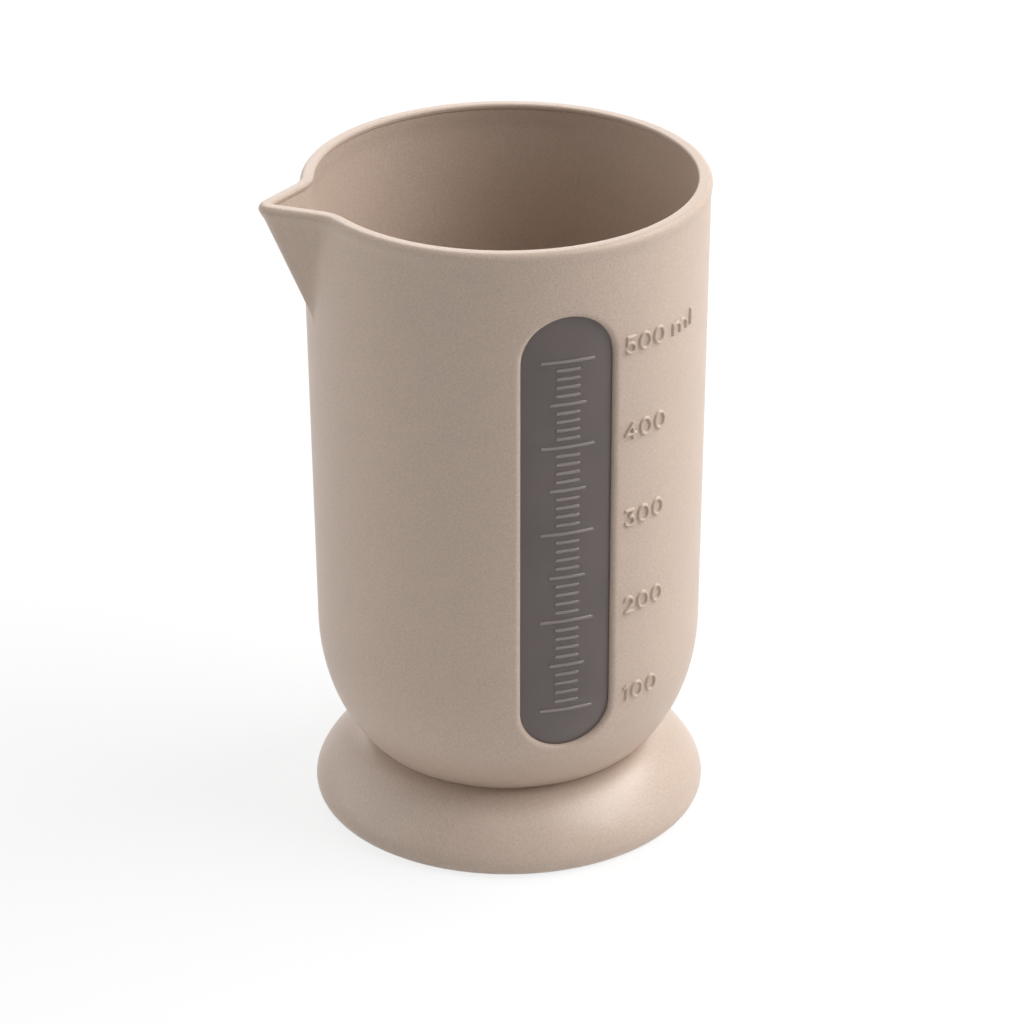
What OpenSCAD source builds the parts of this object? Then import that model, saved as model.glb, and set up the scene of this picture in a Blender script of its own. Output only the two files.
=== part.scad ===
// Half-litre measuring jug: an open jug with a pinched pouring spout, a graduated sight
// window down its front and a flared foot.
// Frame: +Z is up and the origin is the centre of the base. The window faces -Y and the
// spout points to -X. Lengths are in millimetres, volumes in millilitres.

/* [Jug] */
// Height of the jug from the base to the top of the rim
jug_h = 147.4; // [144:0.1:152]
// Outside diameter over the rolled rim
rim_d = 87.4; // [86:0.1:90]
// Thickness of the wall just under the rim
wall = 2.2; // [2:0.1:2.4]
// Draft of the outside, in degrees
draft_out = 0.6; // [0.3:0.1:0.9]
// Draft of the inside, in degrees
draft_in = 1.4; // [1.1:0.1:1.6]

/* [Rim] */
// Width of the rolled rim
rim_w = 2.7; // [2.6:0.1:2.9]
// Height of the straight middle of the rolled rim
rim_band = 0.8; // [0.6:0.1:1.2]
// How far the rim stands proud of the outside of the wall
rim_proud = 0.28; // [0.2:0.01:0.35]

/* [Bowl] */
// Height at which the straight wall turns into the round bowl
bowl_z = 43.5; // [42:0.1:46]
// How far the bowl curves in, from the wall to its flat bottom
bowl_in = 21; // [19:0.1:23]
// Height of the underside of the bowl's flat bottom
bowl_bottom_z = 11; // [10:0.1:12]
// Thickness of the bowl's bottom
floor_t = 2.6; // [2.2:0.1:3]

/* [Spout] */
// Reach of the spout's tip from the axis, over the rim
spout_reach = 54; // [52:0.1:56]
// Half of the angle between the spout's two flanks
spout_half_angle = 38; // [36:1:40]
// Radius of the spout's nose, outside
spout_nose_r = 3.6; // [3.2:0.1:4.2]
// Radius of the hollow blend from each flank into the wall, outside
spout_blend_r = 5.5; // [4:0.5:8]
// Height at which the spout's ridge runs out into the wall
spout_z = 119.5; // [116:0.5:124]

/* [Sight window] */
// Width of the slot in the wall
slot_w = 20; // [19:0.1:21]
// Height of the slot's lower end
slot_low_z = 30; // [29:0.1:32]
// Height of the slot's upper end
slot_high_z = 131.6; // [130:0.1:133]
// Radius of the soft edge round the slot
slot_edge_r = 1.6; // [1.2:0.1:2]
// Depth of the window's face below the outside of the wall
pane_sunk = 1.3; // [1.1:0.1:1.4]
// Width of the window's flange behind the wall, all round
flange = 1.8; // [1.4:0.1:2.2]

/* [Scale] */
// Volume at the lowest mark
low_ml = 100; // [100:50:150]
// Volume at the highest mark
high_ml = 500; // [450:50:500]
// Volume between two marks
step_ml = 10; // [10:10:50]
// Half lengths of the marks at every 100, every 50 and every 10 ml
mark_half = [6, 4.05, 2.7];
// Half of a mark's width
mark_r = 0.3; // [0.25:0.01:0.4]
// How far a mark stands proud of the window's face
mark_h = 0.3; // [0.2:0.05:0.4]

/* [Foot] */
// Diameter of the foot at its lower edge
foot_d = 87.8; // [86:0.1:90]
// Height of the seam where the bowl sits in the foot
seam_z = 15.6; // [15:0.1:16.2]
// Height of the foot's short neck under the seam
neck_h = 0.6; // [0.4:0.1:0.8]
// Thickness of the foot's skirt
skirt_t = 2.4; // [2:0.1:2.8]
// Radius of the foot's lower edge
edge_r = 0.7; // [0.5:0.1:0.9]
// How full the skirt's curve is, outwards and upwards
skirt_full = [0.68, 0.83];

/* [Hidden] */
$fn = 96;
eps = 0.01;

taupe = [0.71, 0.64, 0.58];
smoke = [0.36, 0.33, 0.32, 0.55];

rim_r = rim_d/2;
rim_bead_r = rim_w/2;
rim_line_r = rim_r - rim_bead_r;       // radius of the middle of the rim's width
wall_top_z = jug_h - rim_bead_r;       // the wall ends inside the rolled rim
slope_out = tan(draft_out);
slope_in = tan(draft_in);

// Outside and inside radius of the drafted wall at height z
function wall_out(z) = rim_r - rim_proud - slope_out*(jug_h - z);
function wall_in(z) = rim_r - rim_proud - wall - slope_in*(jug_h - z);

// The bowl is a quarter of an ellipse that turns the wall in to a flat bottom.
bowl_deep = bowl_z - bowl_bottom_z;
bowl_flat_r = wall_out(bowl_z) - bowl_in;
bowl_in_z = bowl_z + 5;                // the inside starts to curve a little higher
floor_z = bowl_bottom_z + floor_t;
inside_deep = bowl_in_z - floor_z;
inside_in = wall_in(bowl_in_z) - bowl_flat_r;
bowl_steps = 24;

function quarter(flat_r, across, top_z, deep) = [
    for (i = [0 : bowl_steps])
        let (a = 90 - 90*i/bowl_steps)
        [flat_r + across*cos(a), top_z - deep*sin(a)]
];

// Outside radius of the jug at height z, wall or bowl
function out_r(z) = z >= bowl_z ? wall_out(z)
    : bowl_flat_r + bowl_in*sqrt(1 - pow((bowl_z - z)/bowl_deep, 2));

// Volume in millilitres below height z inside the jug
function bowl_ml(t) = let (r = bowl_flat_r, a = inside_in)
    PI*inside_deep/1000*(
        r*r*(1 - cos(t)) + r*a*(t*PI/180 - sin(t)*cos(t))
        + a*a*(2/3 - cos(t) + pow(cos(t), 3)/3));
function cone_ml(z0, z1) = PI/(3*slope_in)/1000*(pow(wall_in(z1), 3) - pow(wall_in(z0), 3));
function fill_ml(z) = z <= bowl_in_z ? bowl_ml(acos((bowl_in_z - z)/inside_deep))
    : bowl_ml(90) + cone_ml(bowl_in_z, z);
// Height at which a volume stands, by halving the interval
function level(ml, low = floor_z + 1, high = jug_h, turns = 24) =
    turns == 0 ? (low + high)/2
    : fill_ml((low + high)/2) < ml ? level(ml, (low + high)/2, high, turns - 1)
    : level(ml, low, (low + high)/2, turns - 1);

echo(brim_ml = fill_ml(jug_h), marks_at = [for (ml = [100 : 100 : 500]) [ml, level(ml)]]);

// The whole outside and the whole inside, as solids of revolution
module outside(inset = 0) {
    rotate_extrude()
        polygon(concat(
            [for (p = quarter(bowl_flat_r, bowl_in, bowl_z, bowl_deep))
                [p.x - inset, p.y]],
            [[wall_out(wall_top_z) - inset, wall_top_z], [0, wall_top_z], [0, bowl_bottom_z]]));
}

module inside() {
    rotate_extrude()
        polygon(concat(
            quarter(bowl_flat_r, inside_in, bowl_in_z, inside_deep),
            [[wall_in(jug_h + 1), jug_h + 1], [0, jug_h + 1], [0, floor_z]]));
}

// Spout. The rim's middle line leaves its circle along a blend arc, runs straight down the
// flank and turns round the nose. Here the spout points to +X, and side is +1 or -1.
nose_line_r = spout_nose_r - rim_bead_r;
blend_line_r = spout_blend_r + rim_bead_r;
nose_x = spout_reach - spout_nose_r;
flank_out = [sin(spout_half_angle), cos(spout_half_angle)];    // square to the flank
flank_back = [-cos(spout_half_angle), sin(spout_half_angle)];  // along it, to the wall
nose_end = [nose_x, 0] + nose_line_r*flank_out;
blend_seek = nose_end + blend_line_r*flank_out;
flank_len = let (b = blend_seek*flank_back, c = blend_seek*blend_seek
        - pow(rim_line_r + blend_line_r, 2)) -b - sqrt(b*b - c);
blend_mid = blend_seek + flank_len*flank_back;
blend_angle = atan2(blend_mid.y, blend_mid.x);                 // where the blend meets the circle
blend_turn = 90 - spout_half_angle - blend_angle;
arc_steps = 10;

// Outline of the spout's half at a distance beside the rim's middle line, from wall to nose
function spout_half(beside) = concat(
    [for (i = [2 : arc_steps])
        let (a = 180 + blend_angle + i*blend_turn/arc_steps, r = blend_line_r - beside)
        blend_mid + r*[cos(a), sin(a)]],
    [for (i = [0 : arc_steps - 1])
        let (a = (90 - spout_half_angle)*(1 - i/arc_steps), r = nose_line_r + beside)
        [nose_x, 0] + r*[cos(a), sin(a)]]);
function flip(points) = [for (i = [len(points) - 1 : -1 : 0]) [points[i].x, -points[i].y]];
function spout_outline(beside) = concat(
    [[rim_line_r/2, 0]], spout_half(beside), [[nose_x + nose_line_r + beside, 0]],
    flip(spout_half(beside)));

// A spout narrows from its outline at the top down to a point on the wall.
module spout_cone(beside, point_x, point_z, top_z) {
    translate([point_x, 0, top_z])
        mirror([0, 0, 1])
            linear_extrude(height = top_z - point_z, scale = 0.01)
                translate([-point_x, 0]) polygon(spout_outline(beside));
}

// Section of the rolled rim: a band with a round top and a round bottom
module rim_section() {
    translate([0, jug_h - rim_bead_r]) circle(r = rim_bead_r);
    translate([-rim_bead_r, jug_h - rim_bead_r - rim_band]) square([rim_w, rim_band]);
    translate([0, jug_h - rim_bead_r - rim_band]) circle(r = rim_bead_r);
}

// The rim over the spout is a loft of the same section, square to the rim's middle line.
// Its ends reach a little way into the round part of the rim, and stay just inside it.
section_steps = 10;
lap_angle = 1;
function section_points(r) = concat(
    [for (i = [0 : section_steps]) let (a = 180*i/section_steps)
        [r*cos(a), jug_h - rim_bead_r + r*sin(a)]],
    [for (i = [0 : section_steps]) let (a = 180 + 180*i/section_steps)
        [r*cos(a), jug_h - rim_bead_r - rim_band + r*sin(a)]]);

// Stations along half of the spout's middle line, as [place, outward direction]
function half_stations() = concat(
    [let (a = blend_angle + lap_angle) [rim_line_r*[cos(a), sin(a)], [cos(a), sin(a)]]],
    [for (i = [0 : arc_steps]) let (a = 180 + blend_angle + i*blend_turn/arc_steps)
        [blend_mid + blend_line_r*[cos(a), sin(a)], -[cos(a), sin(a)]]],
    [for (i = [0 : arc_steps - 1]) let (a = (90 - spout_half_angle)*(1 - i/arc_steps))
        [[nose_x, 0] + nose_line_r*[cos(a), sin(a)], [cos(a), sin(a)]]]);
function flip_stations(list) = [for (i = [len(list) - 1 : -1 : 0])
    [[list[i][0].x, -list[i][0].y], [list[i][1].x, -list[i][1].y]]];

module spout_rim() {
    stations = concat(half_stations(), [[[nose_x + nose_line_r, 0], [1, 0]]],
        flip_stations(half_stations()));
    section = section_points(rim_bead_r - eps);
    n = len(section);
    m = len(stations);
    polyhedron(
        points = [for (s = stations) for (p = section)
            [s[0].x + p.x*s[1].x, s[0].y + p.x*s[1].y, p.y]],
        faces = concat(
            [[for (i = [0 : n - 1]) i]],
            [for (j = [0 : m - 2]) for (i = [0 : n - 1])
                [j*n + i, (j + 1)*n + (i + 1)%n, j*n + (i + 1)%n]],
            [for (j = [0 : m - 2]) for (i = [0 : n - 1])
                [j*n + i, (j + 1)*n + i, (j + 1)*n + (i + 1)%n]],
            [[for (i = [n - 1 : -1 : 0]) (m - 1)*n + i]]));
}

module rolled_rim() {
    rotate([0, 0, blend_angle])
        rotate_extrude(angle = 360 - 2*blend_angle)
            translate([rim_line_r, 0]) rim_section();
    spout_rim();
}

module with_spout_left() {
    rotate([0, 0, 180]) children();
}

// Slot. Its outline is a tall stadium, and height is measured over the round ends.
slot_h = slot_high_z - slot_low_z;
module stadium(wide, high) {
    straight = high - wide;
    translate([0, straight/2]) circle(d = wide);
    translate([0, -straight/2]) circle(d = wide);
    square([wide, straight], center = true);
}

// A prism through the front wall, over the slot's outline grown by margin
module slot_prism(margin, from_y = -60, to_y = -20) {
    translate([0, to_y, (slot_low_z + slot_high_z)/2])
        rotate([90, 0, 0])
            linear_extrude(height = to_y - from_y)
                stadium(slot_w + 2*margin, slot_h + 2*margin);
}

// The soft edge is a loft of rings. Each ring follows the slot's outline, grown by out, and
// lies down below the curved outside of the wall.
ring_steps = 20;
edge_steps = 5;
edge_start = 25;
function ring_2d(out) = let (r = slot_w/2 + out, top = slot_high_z - slot_w/2,
        low = slot_low_z + slot_w/2) concat(
    [for (i = [0 : ring_steps]) let (a = 180*i/ring_steps) [r*cos(a), top + r*sin(a)]],
    [for (i = [0 : ring_steps]) let (a = 180 + 180*i/ring_steps) [r*cos(a), low + r*sin(a)]]);
function ring_on_wall(out, down) = [for (p = ring_2d(out))
    [p.x, -sqrt(pow(out_r(p.y), 2) - p.x*p.x) + down, p.y]];
function ring_flat(out, y) = [for (p = ring_2d(out)) [p.x, y, p.y]];

module slot_cutter() {
    e = slot_edge_r;
    start_out = e*(1 - sin(edge_start));
    rings = concat(
        [ring_flat(start_out + 1.5, -rim_r - 4)],
        [ring_on_wall(start_out + e*0.5*cos(edge_start), -e*0.5*sin(edge_start))],
        [for (j = [0 : edge_steps])
            let (a = edge_start + (90 - edge_start)*j/edge_steps)
            ring_on_wall(e*(1 - sin(a)), e*(1 - cos(a)))],
        [ring_flat(0, -rim_r + 12)]);
    n = len(rings[0]);
    m = len(rings);
    polyhedron(
        points = [for (ring = rings) for (p = ring) p],
        faces = concat(
            [[for (i = [n - 1 : -1 : 0]) i]],
            [for (j = [0 : m - 2]) for (i = [0 : n - 1])
                [j*n + i, j*n + (i + 1)%n, (j + 1)*n + (i + 1)%n]],
            [for (j = [0 : m - 2]) for (i = [0 : n - 1])
                [j*n + i, (j + 1)*n + (i + 1)%n, (j + 1)*n + i]],
            [[for (i = [0 : n - 1]) (m - 1)*n + i]]));
}

module jug_body() color(taupe) {
    difference() {
        union() {
            difference() {
                union() {
                    outside();
                    with_spout_left()
                        spout_cone(rim_bead_r - rim_proud, wall_out(spout_z) - eps, spout_z,
                            wall_top_z);
                }
                inside();
                with_spout_left()
                    spout_cone(rim_bead_r - rim_proud - wall, wall_in(spout_z) - eps,
                        spout_z + 0.5, wall_top_z + eps);
            }
            with_spout_left() rolled_rim();
        }
        slot_cutter();
        intersection() {
            slot_prism(flange);
            outside(pane_sunk);
        }
    }
}

// The marks are ribs with round ends that stand up from the window's face.
function mark_half_len(ml) = ml%100 == 0 ? mark_half[0] : ml%50 == 0 ? mark_half[1]
    : mark_half[2];

module marks() {
    intersection() {
        rotate([90, 0, 0])
            linear_extrude(height = 60)
                for (ml = [low_ml : step_ml : high_ml]) {
                    z = level(ml);
                    half = mark_half_len(ml) - mark_r;
                    translate([-half, z - mark_r]) square([2*half, 2*mark_r]);
                    for (x = [-half, half]) translate([x, z]) circle(r = mark_r);
                }
        outside(pane_sunk - mark_h);
    }
}

module sight_window() color(smoke) {
    difference() {
        union() {
            intersection() {
                slot_prism(flange - 0.05);
                outside(pane_sunk);
            }
            marks();
        }
        inside();
    }
}

// Skirt of the foot: a full curve from the neck out to the lower edge
skirt_steps = 16;
function bend(a, b, c) = [for (i = [0 : skirt_steps]) let (t = i/skirt_steps)
    (1 - t)*(1 - t)*a + 2*t*(1 - t)*b + t*t*c];

module foot() color(taupe) {
    r = foot_d/2;
    neck_r = out_r(seam_z);
    top = [neck_r + 0.1, seam_z - neck_h];
    low = [r, edge_r];
    full = [top.x + skirt_full[0]*(low.x - top.x), low.y + skirt_full[1]*(top.y - low.y)];
    top_in = top + [-1.6, -skirt_t];
    low_in = [r - skirt_t - 0.4, 0];
    full_in = full + [-1.5, -skirt_t];
    difference() {
        rotate_extrude()
            polygon(concat(
                [[neck_r - 6, seam_z + 2], [neck_r, seam_z]],
                bend(top, full, low),
                [for (i = [1 : 4]) let (a = 90*i/4) low + edge_r*[cos(a) - 1, -sin(a)]],
                bend(low_in, full_in, top_in),
                [[neck_r - 6, top_in.y]]));
        outside();
    }
}

jug_body();
sight_window();
foot();
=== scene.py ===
import math

import bmesh
import bpy
import numpy as np
from mathutils import Matrix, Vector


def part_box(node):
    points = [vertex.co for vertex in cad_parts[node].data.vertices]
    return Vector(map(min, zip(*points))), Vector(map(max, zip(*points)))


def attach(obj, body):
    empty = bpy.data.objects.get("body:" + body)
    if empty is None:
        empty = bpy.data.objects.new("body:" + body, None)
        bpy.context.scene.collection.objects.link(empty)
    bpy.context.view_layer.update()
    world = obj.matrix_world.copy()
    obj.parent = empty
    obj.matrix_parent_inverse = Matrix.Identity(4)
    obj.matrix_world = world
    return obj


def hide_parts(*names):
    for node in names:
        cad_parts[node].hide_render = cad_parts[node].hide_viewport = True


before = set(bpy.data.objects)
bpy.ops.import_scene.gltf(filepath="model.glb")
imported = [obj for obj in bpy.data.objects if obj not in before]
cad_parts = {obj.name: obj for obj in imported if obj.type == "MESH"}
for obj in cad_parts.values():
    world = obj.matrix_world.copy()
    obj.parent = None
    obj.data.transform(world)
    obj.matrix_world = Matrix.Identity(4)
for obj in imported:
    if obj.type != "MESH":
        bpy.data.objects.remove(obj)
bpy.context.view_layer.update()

# Shapes are worked out in millimetres, in the frame of the part, and written in metres.
MM = 0.001


def hundredth(metres):
    """A length of the frame in millimetres, to the hundredth."""
    return round(metres/MM, 2)


# Corners of the solids that the visual pieces stay inside
jug_low, jug_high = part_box("jug_body")
foot_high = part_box("foot")[1]

# Jug, a little lower and narrower than its solid, as the photograph asks
JUG_LOWER = 0.22
JUG_NARROWER = 0.03
JUG_H = hundredth(jug_high.z) - JUG_LOWER
RIM_R = hundredth(jug_high.x) - JUG_NARROWER
WALL = 2.2
SLOPE_OUT = math.tan(math.radians(0.71))
SLOPE_IN = math.tan(math.radians(1.65))
WALL_TOP_BELOW = 1.3        # the wall's own shape ends so far below the top, inside the rim

# Rim: a broad outer round, a flat top, a tight inner round and a lip that hangs over the inside
RIM_W = 3.0
RIM_PROUD = 0.28            # how far it stands out from the wall
RIM_OUT_ROUND = 1.15        # how far in the outer round runs
RIM_OUT_DROP = 1.35         # how far down the outer round runs
RIM_IN_ROUND = 0.5
RIM_SIDE_H = 1.5            # how far below the top its outer side ends
RIM_SIDE_RUN = 2.4          # height in which the side fades into the wall
LIP_H = 1.15
LIP_IN = 0.2                # the crease under the lip lies so far behind its face
LIP_EDGE = ((0.03, 0.15), (0.12, 0.04))     # behind the lip's face, above its lower edge
LIP_FADE = 5.0              # height in which the crease fades into the wall's inside

# Bowl, which turns from the wall to the flat under it as a quarter of an ellipse
BOWL_Z = 44.17
BOWL_IN = 23.9
BOWL_BOTTOM_Z = 10.1
FLOOR_T = 2.0

# Spout, which points to -X
SPOUT_SHORTER = 0.01        # than its solid
SPOUT_REACH = hundredth(-jug_low.x) - SPOUT_SHORTER
SPOUT_HALF_ANGLE = math.radians(38)
SPOUT_NOSE_R = 3.5
SPOUT_Z = 120.1             # where it starts outside
SPOUT_RISE = 0.6            # how much higher it starts inside
SPOUT_SIDES = 1.05          # angle from its middle in which its flanks count
SPOUT_LEAST = 0.002         # share of its size that it never shrinks below
BLEND_LOW = 0.3             # softness of its blend with the wall where it starts
BLEND_GAIN_OUT = 1.3        # what the blend gains up to the rim, outside
BLEND_GAIN_IN = 2.0         # and inside

# Slot for the window, on -Y
SLOT_W = 19.95
SLOT_LOW_Z = 29.97
SLOT_HIGH_Z = 131.95
SLOT_EDGE_R = 1.5

# Window and its scale
PANE_SUNK = 1.3
PANE_GAP = 0.01
NUMBERED = (100, 200, 300, 400, 500)
NUMBERED_Z = (39.59, 61.17, 82.03, 102.24, 121.86)      # measured in the photograph
SCALE_STEP = 10
FIFTY = 50
HUNDRED = 100
HUNDRED_HALF = 6.0          # half lengths of the marks
FIFTY_HALF = 4.05
TEN_HALF = 2.7
MARK_R = 0.38
MARK_H = 0.3
MARK_END_RISE = 1.4         # how much quicker a mark's end rises than it widens
# Section of a mark's half, as shares of its half width and height: a flat top and a bevel
MARK_SECTION = ((1, -0.04), (0.96, 0.3), (0.83, 0.68), (0.66, 0.93), (0.45, 1), (0, 1))

# Foot, narrower and lower than its solid
FOOT_NARROWER = 0.53
SEAM_LOWER = 0.05
FOOT_R = hundredth(foot_high.x) - FOOT_NARROWER
SEAM_Z = hundredth(foot_high.z) - SEAM_LOWER
FOOT_WIDE_Z = 3.0           # height at which it is widest
FOOT_SIDE_H = 3.0           # how far its side keeps upright before it sweeps in
EDGE_IN = 2.2               # how far the rounded lower edge runs in
RING_W = 1.0                # width of the ring that it rests on
SKIRT_T = 2.4
CROWN_OUT = 7.0             # the skirt leaves the bowl so far outwards
CROWN_FALL = 2.2            # for so much fall
COLLAR_SUNK = 0.01          # the collar lies so far inside the bowl's surface


# Radii of the round walls

def wall_out(z):
    """Radius of the sloping wall's outside."""
    return RIM_R - RIM_PROUD - SLOPE_OUT*(JUG_H - z)


def wall_in(z):
    """Radius of the sloping wall's inside."""
    return RIM_R - RIM_PROUD - WALL - SLOPE_IN*(JUG_H - z)


FLAT_R = wall_out(BOWL_Z) - BOWL_IN
BOWL_DEEP = BOWL_Z - BOWL_BOTTOM_Z
FLOOR_Z = BOWL_BOTTOM_Z + FLOOR_T
INSIDE_DEEP = BOWL_Z - FLOOR_Z
INSIDE_IN = wall_in(BOWL_Z) - FLAT_R


def wall_or_bowl(z, wall, turn_in, deep):
    """Radius of a wall above the bowl, and of the bowl's quarter ellipse below."""
    z = np.asarray(z, float)
    bowl = FLAT_R + turn_in*np.sqrt(np.clip(1 - ((BOWL_Z - z)/deep)**2, 0, 1))
    return np.where(z >= BOWL_Z, wall(z), bowl)


def outside_r(z):
    return wall_or_bowl(z, wall_out, BOWL_IN, BOWL_DEEP)


def inside_r(z):
    return wall_or_bowl(z, wall_in, INSIDE_IN, INSIDE_DEEP)


def pane_r(z):
    return outside_r(z) - PANE_SUNK


# Helpers for curves and meshes

def smoothstep(x):
    """From 0 to 1, level at both ends."""
    x = np.clip(x, 0, 1)
    return x*x*(3 - 2*x)


def soft_max(a, b, softness):
    """The larger of two values, with a round where they meet."""
    h = np.clip(0.5 + 0.5*(a - b)/softness, 0, 1)
    return b + (a - b)*h + softness*h*(1 - h)


def quarter(points):
    """Angles of a quarter turn."""
    return np.linspace(0, math.pi/2, points)


def ring(phi, r, z):
    """Points round the jug, where phi is measured from the spout."""
    return np.stack([-r*np.cos(phi), -r*np.sin(phi), z + 0*phi], -1)


def at_height(points, z):
    """Points given by x and y, put at a height."""
    return np.concatenate([points, np.full((len(points), 1), float(z))], 1)


def place(name, data):
    """A new object in the scene."""
    placed = bpy.data.objects.new(name, data)
    bpy.context.scene.collection.objects.link(placed)
    return placed


class Moulding:
    """Collects the points and faces of a piece, and welds them into one mesh."""

    WELD = 2e-7             # metres

    def __init__(self):
        self.points = []
        self.faces = []
        self.count = 0

    def add(self, points):
        """Takes rows of points in millimetres and gives back their numbers, in the same rows."""
        points = np.asarray(points, float)
        numbers = self.count + np.arange(points.size//3)
        self.points.append(points.reshape(-1, 3))
        self.count += len(numbers)
        return numbers.reshape(points.shape[:-1])

    def quad(self, *numbers):
        self.faces.append(tuple(int(number) for number in numbers))

    def strip(self, a, b):
        """Quads between two closed rings of point numbers."""
        for i in range(len(a)):
            j = (i + 1) % len(a)
            self.quad(a[i], a[j], b[j], b[i])

    def net(self, rows, closed=True, wanted=None):
        """Quads between rows of points: all of them, or the wanted ones of each row and column."""
        ids = self.add(rows)
        columns = ids.shape[1]
        for i in range(len(ids) - 1):
            for j in range(columns if closed else columns - 1):
                if wanted is None or wanted[i, j]:
                    k = (j + 1) % columns
                    self.quad(ids[i, j], ids[i, k], ids[i + 1, k], ids[i + 1, j])
        return ids

    def build(self, name, material, sharp=35):
        """The piece, whose edges stay crisp where they turn more than the sharp angle in degrees."""
        mesh = bpy.data.meshes.new(name)
        mesh.from_pydata((np.concatenate(self.points)*MM).tolist(), [], self.faces)
        welded = bmesh.new()
        welded.from_mesh(mesh)
        bmesh.ops.remove_doubles(welded, verts=welded.verts, dist=self.WELD)
        loose = [point for point in welded.verts if not point.link_faces]
        bmesh.ops.delete(welded, geom=loose, context="VERTS")
        bmesh.ops.recalc_face_normals(welded, faces=welded.faces)
        welded.to_mesh(mesh)
        welded.free()
        for face in mesh.polygons:
            face.use_smooth = True
        mesh.set_sharp_from_angle(angle=math.radians(sharp))
        mesh.materials.append(material)
        return place(name, mesh)


# Node helpers and node groups

NOISE_MIDDLE = (0.3, 0.7)   # range that most of a noise lies in
NOISE_BROAD = (0.25, 0.75)


def node_group(name, inputs, outputs):
    """A new group with its own start and end. Inputs are (label, kind, value)."""
    group = bpy.data.node_groups.new(name, "ShaderNodeTree")
    for label, kind, value in inputs:
        socket = group.interface.new_socket(name=label, in_out="INPUT", socket_type=kind)
        socket.default_value = value
    for label, kind in outputs:
        group.interface.new_socket(name=label, in_out="OUTPUT", socket_type=kind)
    return group, group.nodes.new("NodeGroupInput"), group.nodes.new("NodeGroupOutput")


def noise(tree, scale, detail, roughness):
    """Noise that stays with the object, with about so many spots to the metre."""
    node = tree.nodes.new("ShaderNodeTexNoise")
    node.inputs["Scale"].default_value = scale
    node.inputs["Detail"].default_value = detail
    node.inputs["Roughness"].default_value = roughness
    where = tree.nodes.new("ShaderNodeTexCoord").outputs["Object"]
    tree.links.new(where, node.inputs["Vector"])
    return node.outputs["Fac"]


def either_side(tree, value, span, depth):
    """A value of a span, turned into one from -depth to depth."""
    node = tree.nodes.new("ShaderNodeMapRange")
    for label, number in zip(("From Min", "From Max", "To Min", "To Max"), (*span, -depth, depth)):
        node.inputs[label].default_value = number
    tree.links.new(value, node.inputs["Value"])
    return node.outputs["Result"]


def combine(tree, operation, a, b):
    """Two values combined by a Math node. The second may be a plain number."""
    node = tree.nodes.new("ShaderNodeMath")
    node.operation = operation
    tree.links.new(a, node.inputs[0])
    if isinstance(b, float):
        node.inputs[1].default_value = b
    else:
        tree.links.new(b, node.inputs[1])
    return node.outputs["Value"]


def mould_grain():
    """Fine spark-eroded grain: a tone either side of 0, a roughness and a normal."""
    grain_tone = 0.09
    cloud_tone = 0.012
    grain_roughness = 0.05
    grain_height = 0.00002
    group, start, end = node_group(
        "mould grain",
        [("Grain", "NodeSocketFloat", 1.0), ("Roughness", "NodeSocketFloat", 0.5)],
        [("Tone", "NodeSocketFloat"), ("Roughness", "NodeSocketFloat"), ("Normal", "NodeSocketVector")])
    fine = noise(group, scale=2100, detail=2, roughness=0.6)
    clouds = noise(group, scale=160, detail=3, roughness=0.55)
    tone = combine(group, "ADD", either_side(group, fine, NOISE_MIDDLE, grain_tone),
                   either_side(group, clouds, NOISE_MIDDLE, cloud_tone))
    roughness = combine(group, "ADD", start.outputs["Roughness"],
                        either_side(group, fine, NOISE_BROAD, grain_roughness))
    bump = group.nodes.new("ShaderNodeBump")
    bump.inputs["Distance"].default_value = grain_height
    group.links.new(start.outputs["Grain"], bump.inputs["Strength"])
    group.links.new(fine, bump.inputs["Height"])
    group.links.new(tone, end.inputs["Tone"])
    group.links.new(roughness, end.inputs["Roughness"])
    group.links.new(bump.outputs["Normal"], end.inputs["Normal"])
    return group


def smoke_clouds():
    """Soft clouds in the smoky plastic: a tone either side of 0."""
    group, start, end = node_group(
        "smoke clouds", [("Depth", "NodeSocketFloat", 0.05)], [("Tone", "NodeSocketFloat")])
    clouds = either_side(group, noise(group, scale=90, detail=3, roughness=0.55), NOISE_MIDDLE, 1.0)
    group.links.new(combine(group, "MULTIPLY", clouds, start.outputs["Depth"]), end.inputs["Tone"])
    return group


GRAIN = mould_grain()
CLOUDS = smoke_clouds()


# Materials

PLASTIC_IOR = 1.5
TAUPE = (0.512, 0.402, 0.328)
SMOKE = (0.165, 0.132, 0.123)
# The scale marks are of the pane's plastic; their paler smoke is a painted highlight for the bright
# lines on their ribs
HIGHLIGHT_SMOKE = (0.22, 0.185, 0.17)
WHITE = (1, 1, 1, 1)


def shader_material(name):
    """A new material with its nodes and its shader."""
    material = bpy.data.materials.new(name)
    material.use_nodes = True
    tree = material.node_tree
    return material, tree, tree.nodes["Principled BSDF"]


def put_group(tree, group):
    node = tree.nodes.new("ShaderNodeGroup")
    node.node_tree = group
    return node


def toned(tree, tone, colour):
    """The colour, a little lighter and darker with a tone."""
    node = tree.nodes.new("ShaderNodeHueSaturation")
    node.inputs["Color"].default_value = (*colour, 1)
    tree.links.new(combine(tree, "ADD", tone, 1.0), node.inputs["Value"])
    return node.outputs["Color"]


def moulded_plastic(name, colour, roughness, grain, specular):
    """Matt plastic with the grain of its mould."""
    material, tree, shader = shader_material(name)
    skin = put_group(tree, GRAIN)
    skin.inputs["Grain"].default_value = grain
    skin.inputs["Roughness"].default_value = roughness
    tree.links.new(toned(tree, skin.outputs["Tone"], colour), shader.inputs["Base Color"])
    tree.links.new(skin.outputs["Roughness"], shader.inputs["Roughness"])
    tree.links.new(skin.outputs["Normal"], shader.inputs["Normal"])
    shader.inputs["IOR"].default_value = PLASTIC_IOR
    shader.inputs["Specular IOR Level"].default_value = specular
    return material


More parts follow.
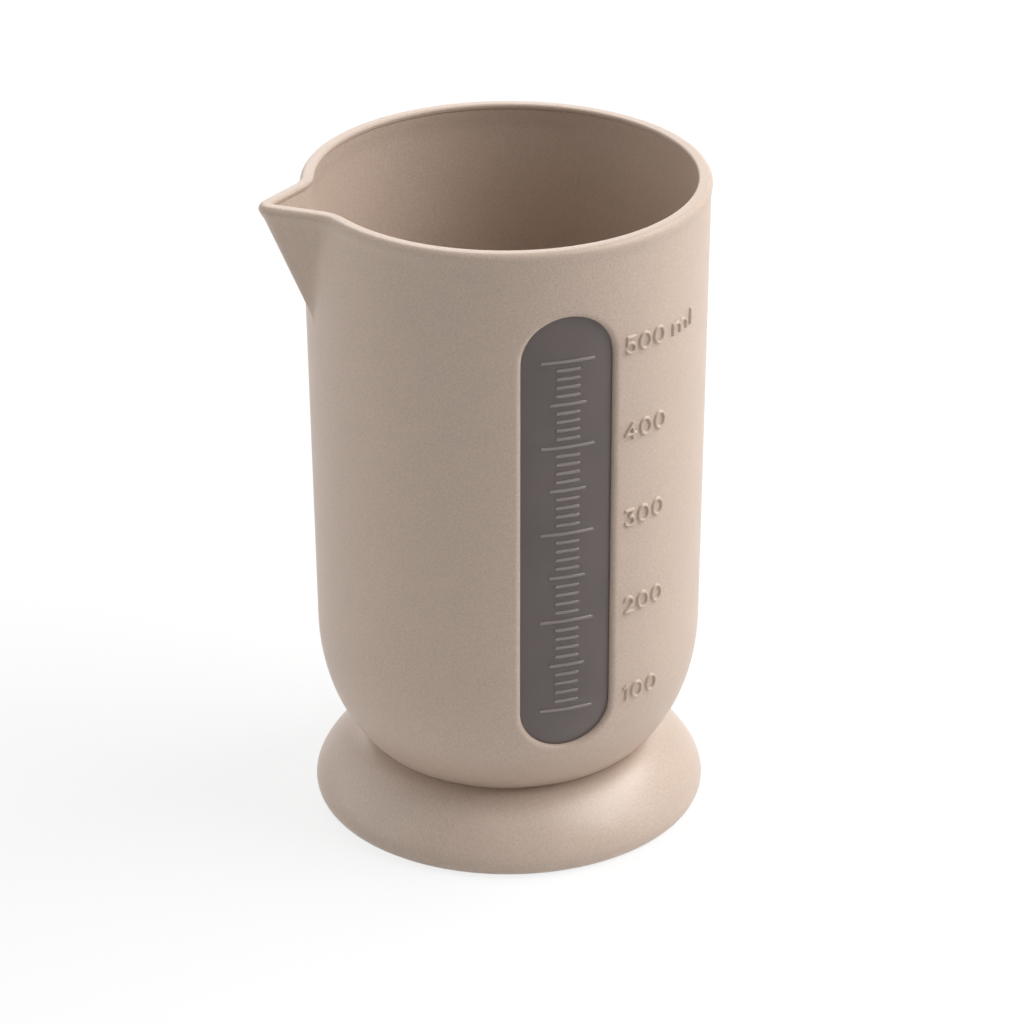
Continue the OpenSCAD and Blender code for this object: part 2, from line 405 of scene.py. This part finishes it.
def smoky_plastic(name, colour, roughness, clouds, clear):
    """Smoky plastic with soft clouds in its colour, of which a share is clear."""
    material, tree, shader = shader_material(name)
    smoke = put_group(tree, CLOUDS)
    smoke.inputs["Depth"].default_value = clouds
    tree.links.new(toned(tree, smoke.outputs["Tone"], colour), shader.inputs["Base Color"])
    shader.inputs["IOR"].default_value = PLASTIC_IOR
    shader.inputs["Roughness"].default_value = roughness
    shader.inputs["Transmission Weight"].default_value = clear
    return material


body_material = moulded_plastic("taupe plastic", TAUPE, roughness=0.44, grain=0.9, specular=0.36)
foot_material = moulded_plastic(
    "taupe plastic of the foot", TAUPE, roughness=0.36, grain=1.0, specular=0.45)
window_material = smoky_plastic("smoky plastic", SMOKE, roughness=0.3, clouds=0.07, clear=0.35)
# The marks' paler colour is a painted highlight, not a colour of their own
marks_material = smoky_plastic("marks with painted highlight", HIGHLIGHT_SMOKE, roughness=0.14, clouds=0.07, clear=0.0)


# Walls with the spout

WALL_TOP_Z = JUG_H - WALL_TOP_BELOW
NOSE_X = SPOUT_REACH - SPOUT_NOSE_R


def spout_r(phi, size, start_r, nose_r):
    """Distance from the axis to the spout's V, shrunk to a size about the spout's start."""
    p = np.abs(phi)
    nose_x = start_r + size*(NOSE_X - start_r)
    r = size*nose_r
    touch = np.arctan2(r*math.cos(SPOUT_HALF_ANGLE), nose_x + r*math.sin(SPOUT_HALF_ANGLE))
    flank_angle = np.minimum(p, SPOUT_SIDES) + SPOUT_HALF_ANGLE
    flank = (nose_x*math.sin(SPOUT_HALF_ANGLE) + r)/np.sin(flank_angle)
    nose = nose_x*np.cos(p) + np.sqrt(np.clip(r*r - (nose_x*np.sin(p))**2, 0, None))
    return np.where(p < touch, nose, np.where(p < SPOUT_SIDES, flank, 0))


def wall_and_spout_r(phi, z, wall_r, start_z, nose_r, blend_gain):
    """Radius of a wall with the spout blended on."""
    start_r = float(wall_r(start_z))
    size = (z - start_z)/(WALL_TOP_Z - start_z)
    back = np.clip(-size, 0, None)*(NOSE_X + nose_r - start_r)
    spout = spout_r(phi, np.clip(size, SPOUT_LEAST, None), start_r - back, nose_r)
    return soft_max(spout, wall_r(z), BLEND_LOW + blend_gain*np.clip(size, 0, 1))


def outer_ring(phi, z):
    nose_r = SPOUT_NOSE_R - RIM_PROUD
    return ring(phi, wall_and_spout_r(phi, z, outside_r, SPOUT_Z, nose_r, BLEND_GAIN_OUT), z)


def inner_ring(phi, z):
    nose_r = SPOUT_NOSE_R - RIM_PROUD - WALL
    start_z = SPOUT_Z + SPOUT_RISE
    return ring(phi, wall_and_spout_r(phi, z, inside_r, start_z, nose_r, BLEND_GAIN_IN), z)


def bowl_ring(phi, angle, turn_in, deep):
    """A ring of the bowl, from its widest at angle 0 to its flat at a right angle."""
    return ring(phi, FLAT_R + turn_in*math.cos(angle), BOWL_Z - deep*math.sin(angle))


# Columns of the jug's grid: angles in degrees from the spout, closer at the spout and the window

NOSE_TO = 8
FLANK_TO = 26
WINDOW_FROM = 68.0
WINDOW_TO = 112.0
NOSE_STEP = 0.4
FLANK_STEP = 0.9
WALL_STEP = 1.5
WINDOW_STEP = 1.1
BACK_COLUMNS = 45

spout_columns = np.concatenate([
    np.arange(0, NOSE_TO, NOSE_STEP), np.arange(NOSE_TO, FLANK_TO, FLANK_STEP),
    np.arange(FLANK_TO, WINDOW_FROM, WALL_STEP)])
window_columns = np.arange(WINDOW_FROM, WINDOW_TO + WINDOW_STEP/2, WINDOW_STEP)
past_window = WINDOW_TO + WALL_STEP
PHI = np.radians(np.concatenate([
    spout_columns, window_columns, np.linspace(past_window, 180, BACK_COLUMNS),
    -np.linspace(180 - WALL_STEP, past_window, BACK_COLUMNS - 1), -window_columns[::-1],
    -spout_columns[:0:-1]]))


# Rows of the jug's grid. A block of it is left out in both walls, and filled round the slot.

BLOCK_LOW_Z = 25.0
BLOCK_HIGH_Z = 136.5
BLOCK_LEFT = len(spout_columns)
BLOCK_RIGHT = BLOCK_LEFT + len(window_columns) - 1
BOWL_ROWS = 13
WALL_ROWS = 40
UNDER_ROWS = 20
FLAT_RINGS = (0, 6, 12, 17)         # radii of the rings on the flat and on the inside's floor

low_angle_out = math.asin((BOWL_Z - BLOCK_LOW_Z)/BOWL_DEEP)
low_angle_in = math.asin((BOWL_Z - BLOCK_LOW_Z)/INSIDE_DEEP)
BLOCK_Z = np.concatenate([
    BOWL_Z - BOWL_DEEP*np.sin(np.linspace(low_angle_out, 0, BOWL_ROWS)),
    np.linspace(BOWL_Z, BLOCK_HIGH_Z, WALL_ROWS)[1:]])


def rim_middle():
    """x and y of the rim's middle line, and its outward direction at each column."""
    step = 1e-4
    along = (outer_ring(PHI + step, WALL_TOP_Z) - outer_ring(PHI - step, WALL_TOP_Z))[:, :2]
    along /= np.linalg.norm(along, axis=1, keepdims=True)
    outward = np.stack([along[:, 1], -along[:, 0]], -1)
    wall_top = outer_ring(PHI, WALL_TOP_Z)[:, :2]
    return wall_top - (RIM_W/2 - RIM_PROUD)*outward, outward


RIM_MIDDLE, RIM_OUTWARD = rim_middle()
CREASE = RIM_MIDDLE - (RIM_W/2 - LIP_IN)*RIM_OUTWARD
CREASE_PHI = np.arctan2(-CREASE[:, 1], -CREASE[:, 0])


def under_rim():
    """Outside, from the block to the rim's side, where the wall swells softly out."""
    swell_h = RIM_SIDE_H + RIM_SIDE_RUN
    row_gap = 0.5
    plain = np.linspace(JUG_H - BLOCK_HIGH_Z, swell_h + row_gap, 5)[1:]
    swelling = np.linspace(swell_h, RIM_SIDE_H, 9)
    rows = []
    for h in np.concatenate([plain, swelling]):
        row = outer_ring(PHI, JUG_H - h)
        row[:, :2] += RIM_PROUD*float(smoothstep((swell_h - h)/RIM_SIDE_RUN))*RIM_OUTWARD
        rows.append(row)
    return rows


def over_rim():
    """The rim, from its side over the top to the lip's lower edge."""
    half = RIM_W/2
    section = [(half - RIM_OUT_ROUND*(1 - math.cos(a)), RIM_OUT_DROP*(1 - math.sin(a)))
               for a in quarter(12)]
    section += [(RIM_IN_ROUND*(1 - math.sin(a)) - half, RIM_IN_ROUND*(1 - math.cos(a)))
                for a in quarter(7)]
    section += [(behind - half, LIP_H - above) for behind, above in LIP_EDGE]
    return [at_height(RIM_MIDDLE + out*RIM_OUTWARD, JUG_H - down) for out, down in section]


def under_lip():
    """Inside, from the crease under the lip down to the block."""
    row_gap = 0.3
    faded_h = 5.2
    away = CREASE - inner_ring(CREASE_PHI, WALL_TOP_Z)[:, :2]
    fading = np.linspace(LIP_H + row_gap, faded_h, 8)
    plain = np.linspace(faded_h, JUG_H - BLOCK_HIGH_Z, 5)[1:-1]
    rows = [at_height(CREASE, JUG_H - LIP_H)]
    for h in np.concatenate([fading, plain]):
        row = inner_ring(CREASE_PHI, JUG_H - h)
        row[:, :2] += away*float(1 - smoothstep((h - LIP_H)/LIP_FADE))
        rows.append(row)
    return rows


def jug_rows():
    """Rings from the flat up the outside, over the rim and down to the floor of the inside.

    With them come the lowest and highest row of the block in the outer and the inner wall."""
    start = [ring(PHI, r, BOWL_BOTTOM_Z) for r in FLAT_RINGS]
    start += [bowl_ring(PHI, a, BOWL_IN, BOWL_DEEP)
              for a in np.linspace(math.pi/2, low_angle_out, UNDER_ROWS)[:-1]]
    outside = [outer_ring(PHI, z) for z in BLOCK_Z]
    top = under_rim() + over_rim() + under_lip()
    inside = [inner_ring(CREASE_PHI, z) for z in BLOCK_Z[::-1]]
    end = [bowl_ring(CREASE_PHI, a, INSIDE_IN, INSIDE_DEEP)
           for a in np.linspace(low_angle_in, math.pi/2, UNDER_ROWS)[1:]]
    end += [ring(PHI, r, FLOOR_Z) for r in FLAT_RINGS[::-1]]
    outer_low = len(start)
    outer_high = outer_low + len(outside) - 1
    inner_high = outer_high + len(top) + 1
    inner_low = inner_high + len(inside) - 1
    rows = np.array(start + outside + top + inside + end)
    return rows, (outer_low, outer_high), (inner_low, inner_high)


JUG_ROWS, OUTER_BLOCK, INNER_BLOCK = jug_rows()


# Slot, which is ringed by spokes from its upright middle line to the edge of the block

HALF_W = SLOT_W/2
SHARES_TO_SLOT = (0.3, 0.6, 0.85, 1.0)
SHARES_FROM_SLOT = (0, 0.25, 0.5, 0.75)


def round_block(grid, block):
    """What a grid holds round the block, the same way round for both walls."""
    low, high = block
    way = 1 if high > low else -1
    return np.concatenate([
        grid[low, BLOCK_LEFT:BLOCK_RIGHT], grid[low:high:way, BLOCK_RIGHT],
        grid[high, BLOCK_RIGHT:BLOCK_LEFT:-1], grid[high:low:-way, BLOCK_LEFT]])


def round_block_xz(block):
    return round_block(JUG_ROWS, block)[:, [0, 2]]


def slot_spokes():
    """x and z of each spoke's start, its direction and its length."""
    ends = round_block_xz(OUTER_BLOCK)
    middle_z = np.clip(ends[:, 1], SLOT_LOW_Z + HALF_W, SLOT_HIGH_Z - HALF_W)
    starts = np.stack([np.zeros(len(ends)), middle_z], -1)
    lengths = np.linalg.norm(ends - starts, axis=1, keepdims=True)
    return starts, (ends - starts)/lengths, lengths


SPOKE_STARTS, SPOKE_WAYS, SPOKE_LENGTHS = slot_spokes()


def along_spokes(distance):
    """x and z at a distance along every spoke."""
    return SPOKE_STARTS + SPOKE_WAYS*distance


def on_front(xz, radius, depth=0.0):
    """Points on the front of a round wall, moved back by a depth."""
    x, z = xz.T
    return np.stack([x, -np.sqrt(radius(z)**2 - x*x) + depth, z], -1)


def slot_rings():
    """From the block's edge over the slot's rounded edge, through the wall and out inside."""
    grown = HALF_W + SLOT_EDGE_R
    rings = [on_front(along_spokes(SPOKE_LENGTHS + (grown - SPOKE_LENGTHS)*share), outside_r)
             for share in SHARES_TO_SLOT]
    for a in quarter(9)[1:]:
        outline = along_spokes(HALF_W + SLOT_EDGE_R*(1 - math.sin(a)))
        rings.append(on_front(outline, outside_r, SLOT_EDGE_R*(1 - math.cos(a))))
    hole = along_spokes(HALF_W)
    block = round_block_xz(INNER_BLOCK)
    rings += [on_front(hole + (block - hole)*share, inside_r) for share in SHARES_FROM_SLOT]
    return rings


# Jug moulding

def make_jug():
    """The grid of the jug without its block, and the rings of the slot in its place."""
    moulding = Moulding()
    wanted = np.ones((len(JUG_ROWS) - 1, len(PHI)), bool)
    for block in (OUTER_BLOCK, INNER_BLOCK):
        wanted[min(block):max(block), BLOCK_LEFT:BLOCK_RIGHT] = False
    ids = moulding.net(JUG_ROWS, wanted=wanted)
    last = round_block(ids, OUTER_BLOCK)
    for points in slot_rings():
        numbers = moulding.add(points)
        moulding.strip(last, numbers)
        last = numbers
    moulding.strip(last, round_block(ids, INNER_BLOCK))
    return moulding.build("jug_moulding", body_material)


jug = make_jug()
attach(jug, "root")


# Sight window

def make_window():
    """The pane that closes the slot, as rings from its middle out and back behind."""
    moulding = Moulding()
    edge = HALF_W - PANE_GAP
    shares = (0.0, 0.2, 0.4, 0.6, 0.78, 0.9, 0.97, 1.0)
    rings = [on_front(along_spokes(edge*share), pane_r) for share in shares]
    rings += [on_front(along_spokes(edge*share), inside_r) for share in shares[::-1]]
    moulding.net(rings)
    return moulding.build("window_pane", window_material)


window = make_window()
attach(window, "root")


# Scale marks, which lie on a smooth curve through the numbered ones

LEVELS = np.polyfit(NUMBERED, NUMBERED_Z, len(NUMBERED) - 1)


def mark_half(ml):
    """Half the length of the mark for a volume."""
    if ml % HUNDRED == 0:
        return HUNDRED_HALF
    if ml % FIFTY == 0:
        return FIFTY_HALF
    return TEN_HALF


def mark_rows(ml):
    """A rib with round ends on the face of the window."""
    z = float(np.polyval(LEVELS, ml))
    r = float(pane_r(z))
    half = mark_half(ml) - MARK_R
    left_end = [(-half - MARK_R*math.sin(a), math.cos(a)) for a in quarter(6)[::-1]]
    middle = [(u, 1.0) for u in np.linspace(-half, half, 12)[1:-1]]
    right_end = [(half + MARK_R*math.sin(a), math.cos(a)) for a in quarter(6)]
    other_half = tuple((-across, up) for across, up in MARK_SECTION[-2::-1])
    section_v, section_h = np.array(MARK_SECTION + other_half).T
    rows = []
    for u, size in left_end + middle + right_end:
        raised_r = r + MARK_H*min(size*MARK_END_RISE, 1)*section_h
        rows.append(np.stack([raised_r*np.sin(u/r), -raised_r*np.cos(u/r),
                              z + MARK_R*size*section_v], -1))
    return rows


def make_scale():
    moulding = Moulding()
    for ml in range(NUMBERED[0], NUMBERED[-1] + 1, SCALE_STEP):
        moulding.net(mark_rows(ml), closed=False)
    return moulding.build("scale_marks", marks_material)


scale = make_scale()
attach(scale, "root")


# Raised numerals, as height maps over the wall

STROKE = 0.34               # half the width of a stroke
STROKE_FOOT = 0.05          # its foot spreads so much wider
STROKE_ROUND = 2.6          # power of its section: the higher, the flatter its top
RAISED = 0.55
SKIRT_W = 0.12              # the mesh goes on so far past the foot
SKIRT_SUNK = 0.02           # and dips so far into the wall
SKIRT_RUN = 0.25            # over this width
NUMERAL_R = 43.0            # radius at which places round the wall are measured
NUMERAL_GAP = 0.07          # between the height map's points
NUMERAL_MARGIN = 0.6
STROKE_GAP = 0.06           # between the points along a stroke

# Signs, each one's place round the wall from the window's middle, the row's foot and its height
NUMERALS = (
    ("500ml", (12.55, 16.23, 20.36, 26.44, 33.45), 121.14, 4.2),
    ("400", (12.74, 16.82, 21.13), 101.26, 4.2),
    ("300", (13.07, 16.70, 20.99), 80.89, 4.2),
    ("200", (13.22, 16.93, 21.28), 60.07, 4.2),
    ("100", (13.46, 15.78, 20.24), 38.48, 4.25),
)


def arc(cx, cy, rx, ry, start, end, steps=18):
    """Points of an elliptic arc, with its angles in degrees."""
    a = np.radians(np.linspace(start, end, steps))
    return np.stack([cx + rx*np.cos(a), cy + ry*np.sin(a)], -1)


def path(*points):
    return np.array(points, float)


def sign_strokes(h):
    """Each sign as a list of strokes, for numerals with the height h."""
    low_h = 0.64*h
    return {
        "0": [arc(1.37, h/2, 1.37, h/2, 0, 360, 48)],
        "1": [path((0, 0.83*h), (0.82, h), (0.82, 0))],
        "2": [np.concatenate([arc(1.12, h - 1.05, 1.08, 1.05, 160, -28), path((0.05, 0), (2.35, 0))])],
        "3": [np.concatenate([path((0.15, h), (2.1, h), (1.05, 0.6*h)),
                              arc(1.05, 0.3*h, 1.15, 0.3*h, 80, -150)])],
        "4": [path((1.9, h), (0, 0.29*h), (2.75, 0.29*h)), path((1.98, 0.6*h), (1.98, 0))],
        "5": [np.concatenate([path((2.15, h), (0.4, h), (0.25, 0.52*h)),
                              arc(1.1, 0.31*h, 1.15, 0.31*h, 115, -150)])],
        "m": [path((0, low_h), (0, 0)),
              np.concatenate([arc(1.28, low_h - 1.1, 1.28, 1.1, 180, 0), path((2.56, 0))]),
              np.concatenate([arc(3.84, low_h - 1.1, 1.28, 1.1, 180, 0), path((5.12, 0))])],
        "l": [path((0, 0.945*h), (0, 0))],
    }


def along_stroke(points):
    """Points close together along a stroke."""
    parts = []
    for a, b in zip(points[:-1], points[1:]):
        count = max(int(np.linalg.norm(b - a)/STROKE_GAP), 1)
        parts.append(a + (b - a)*np.linspace(0, 1, count, endpoint=False)[:, None])
    return np.concatenate(parts + [points[-1:]])


def raise_row(moulding, signs, places, foot_z, high):
    """Adds a row of signs, as one height map."""
    strokes = sign_strokes(high - 2*STROKE)
    middles = np.concatenate([along_stroke(stroke) + [start_u + STROKE, foot_z + STROKE]
                              for sign, start_u in zip(signs, places) for stroke in strokes[sign]])
    u, z = np.meshgrid(*(np.arange(row.min() - NUMERAL_MARGIN, row.max() + NUMERAL_MARGIN, NUMERAL_GAP)
                         for row in middles.T))
    squared = np.full(u.shape, np.inf)
    for middle_u, middle_z in middles:
        squared = np.minimum(squared, (u - middle_u)**2 + (z - middle_z)**2)
    away = np.sqrt(squared)
    reach = STROKE + STROKE_FOOT
    height = RAISED*(1 - np.clip(away/reach, 0, 1)**STROKE_ROUND)
    height -= SKIRT_SUNK*smoothstep((away - STROKE)/SKIRT_RUN)
    r = outside_r(z) + height
    points = np.stack([r*np.sin(u/NUMERAL_R), -r*np.cos(u/NUMERAL_R), z], -1)
    near = away < reach + SKIRT_W
    wanted = near[:-1, :-1] | near[1:, :-1] | near[:-1, 1:] | near[1:, 1:]
    moulding.net(points, closed=False, wanted=wanted)


def make_numerals():
    moulding = Moulding()
    for row in NUMERALS:
        raise_row(moulding, *row)
    return moulding.build("scale_numerals", body_material, sharp=180)


numerals = make_numerals()
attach(numerals, "root")


# Foot

TURN_STEP = 1.5             # degrees


def sweep(start, towards, from_there, end, points):
    """A smooth curve that leaves its start towards one point and reaches its end from another."""
    start, towards, from_there, end = map(np.array, (start, towards, from_there, end))
    t = np.linspace(0, 1, points)[:, None]
    s = 1 - t
    return (s**3*start + 3*s*s*t*towards + 3*s*t*t*from_there + t**3*end).tolist()


def foot_profile():
    """Collar round the bowl, the sweep down the outside, the rounded edge and the hollow."""
    neck_r = float(outside_r(SEAM_Z))
    collar_low_z = SEAM_Z - SKIRT_T
    hollow_r = FOOT_R - EDGE_IN - RING_W
    profile = [(float(outside_r(z)) - COLLAR_SUNK, z) for z in np.linspace(collar_low_z, SEAM_Z, 10)]
    profile += sweep((neck_r, SEAM_Z), (neck_r + CROWN_OUT, SEAM_Z - CROWN_FALL),
                     (FOOT_R, FOOT_WIDE_Z + FOOT_SIDE_H), (FOOT_R, FOOT_WIDE_Z), 40)[1:]
    profile += [(FOOT_R - EDGE_IN*(1 - math.cos(a)), FOOT_WIDE_Z*(1 - math.sin(a)))
                for a in quarter(12)[1:]]
    profile += sweep((hollow_r, 0), (hollow_r, FOOT_SIDE_H),
                     (neck_r + CROWN_OUT - SKIRT_T/2, collar_low_z - CROWN_FALL),
                     (neck_r - SKIRT_T, collar_low_z), 24)
    return profile


def make_foot():
    """The foot's profile, turned about the axis."""
    moulding = Moulding()
    profile = foot_profile()
    turn = np.radians(np.arange(0, 360, TURN_STEP))
    moulding.net([np.stack([r*np.cos(turn), r*np.sin(turn), z + 0*turn], -1)
                  for r, z in profile + profile[:1]])
    return moulding.build("flared_foot", foot_material)


foot = make_foot()
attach(foot, "root")

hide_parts("jug_body")
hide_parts("sight_window")
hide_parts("foot")


# Camera, placed as the photograph was taken

FOCAL_PX = 4352.37
PHOTO_PX = 1024
SENSOR_MM = 36
CAMERA_BACK = 854.16
CAMERA_UP = 494.25
PITCH = 0.46344             # radians, as the other angles
YAW = 0.001082
ROLL = 0.004079
TURN = 0.306385             # how far round from the window the camera stands
CLIP_NEAR = 0.01            # metres
CLIP_FAR = 50


def turned(vector, angle):
    """A vector turned about Z, clockwise seen from above."""
    c = math.cos(angle)
    s = math.sin(angle)
    return np.array([[c, s, 0], [-s, c, 0], [0, 0, 1]]) @ vector


def photo_camera():
    """The camera, which looks at the jug from above and left of the window."""
    forward = np.array([math.sin(YAW)*math.cos(PITCH), math.cos(YAW)*math.cos(PITCH), -math.sin(PITCH)])
    level_right = np.array([math.cos(YAW), -math.sin(YAW), 0])
    level_down = np.cross(forward, level_right)
    right = math.cos(ROLL)*level_right + math.sin(ROLL)*level_down
    down = math.cos(ROLL)*level_down - math.sin(ROLL)*level_right
    stand = np.array([0, -CAMERA_BACK, CAMERA_UP])*MM
    columns = [turned(vector, TURN) for vector in (right, -down, -forward, stand)]
    data = bpy.data.cameras.new("camera")
    data.sensor_width = SENSOR_MM
    data.lens = FOCAL_PX/PHOTO_PX*SENSOR_MM
    data.clip_start = CLIP_NEAR
    data.clip_end = CLIP_FAR
    camera = place("camera", data)
    camera.matrix_world = Matrix([*np.stack(columns, -1).tolist(), [0, 0, 0, 1]])
    return camera


bpy.context.scene.camera = photo_camera()


# Studio: lamps, a white surround and a white floor, in metres

LAMP_AIM_H = 0.08           # height of the point on the axis that the lamps face
LAMP_DISTANCE = 1.2         # from that point
WORLD_LIGHT = 0.08
FLOOR_HALF = 1.3
FLOOR_PALE = 0.9
FLOOR_ROUGHNESS = 0.9
FLOOR_WHITE = 0.8           # share of plain white in the floor as the camera sees it

# Azimuth in degrees from the window towards +X, elevation, width, and power in watts
LAMPS = {
    "key": (60, 45, 0.8, 9.8),
    "right": (98, 43, 0.5, 5.9),
    "low right": (70, 20, 0.8, 1.8),
    "left": (-110, 20, 1.5, 7.6),
    "back right": (150, 20, 0.8, 2.0),
    "back": (180, 28, 0.8, 3.8),
    "top": (60, 72, 0.8, 1.2),
    "small front left": (-20, 58, 0.16, 0.8),
}


def soft_lamp(name, azimuth, elevation, width, power):
    """A round lamp that faces the jug."""
    data = bpy.data.lights.new(name, "AREA")
    data.shape = "DISK"
    data.size = width
    data.energy = power
    a = math.radians(azimuth)
    e = math.radians(elevation)
    away = np.array([math.sin(a)*math.cos(e), -math.cos(a)*math.cos(e), math.sin(e)])
    across = np.cross([0, 0, 1], away)
    across /= np.linalg.norm(across)
    axes = np.stack([across, np.cross(away, across), away], -1)
    lamp = place(name, data)
    lamp.location = (away*LAMP_DISTANCE + [0, 0, LAMP_AIM_H]).tolist()
    lamp.rotation_euler = Matrix(axes.tolist()).to_euler()


def seen_straight(tree):
    """1 where the camera looks, straight or through gloss and glass, and 0 for other light."""
    rays = tree.nodes.new("ShaderNodeLightPath")
    seen = rays.outputs["Is Camera Ray"]
    for ray in ("Is Glossy Ray", "Is Transmission Ray"):
        seen = combine(tree, "MAXIMUM", seen, rays.outputs[ray])
    return seen


def white_surround():
    """Plain white to look at, and a faint even light on the jug."""
    world = bpy.data.worlds.new("studio")
    bpy.context.scene.world = world
    world.use_nodes = True
    tree = world.node_tree
    background = tree.nodes["Background"]
    background.inputs["Color"].default_value = WHITE
    strength = tree.nodes.new("ShaderNodeMapRange")
    strength.inputs["To Min"].default_value = WORLD_LIGHT
    strength.inputs["To Max"].default_value = 1.0
    tree.links.new(seen_straight(tree), strength.inputs["Value"])
    tree.links.new(strength.outputs["Result"], background.inputs["Strength"])


def white_floor_material():
    """Seen by the camera the floor is mostly plain white, with a faint shadow on it."""
    material, tree, shader = shader_material("white floor")
    shader.inputs["Base Color"].default_value = (FLOOR_PALE, FLOOR_PALE, FLOOR_PALE, 1)
    shader.inputs["Roughness"].default_value = FLOOR_ROUGHNESS
    glow = tree.nodes.new("ShaderNodeEmission")
    glow.inputs["Color"].default_value = WHITE
    mix = tree.nodes.new("ShaderNodeMixShader")
    tree.links.new(combine(tree, "MULTIPLY", seen_straight(tree), FLOOR_WHITE), mix.inputs["Fac"])
    tree.links.new(shader.outputs["BSDF"], mix.inputs[1])
    tree.links.new(glow.outputs["Emission"], mix.inputs[2])
    tree.links.new(mix.outputs["Shader"], tree.nodes["Material Output"].inputs["Surface"])
    return material


def white_floor():
    mesh = bpy.data.meshes.new("floor")
    corners = [(x*FLOOR_HALF, y*FLOOR_HALF, 0) for x, y in ((-1, -1), (1, -1), (1, 1), (-1, 1))]
    mesh.from_pydata(corners, [], [(0, 1, 2, 3)])
    mesh.materials.append(white_floor_material())
    return place("floor", mesh)


for lamp_name, lamp in LAMPS.items():
    soft_lamp(lamp_name, *lamp)
white_surround()
floor = white_floor()

bpy.context.scene.view_settings.view_transform = "Standard"
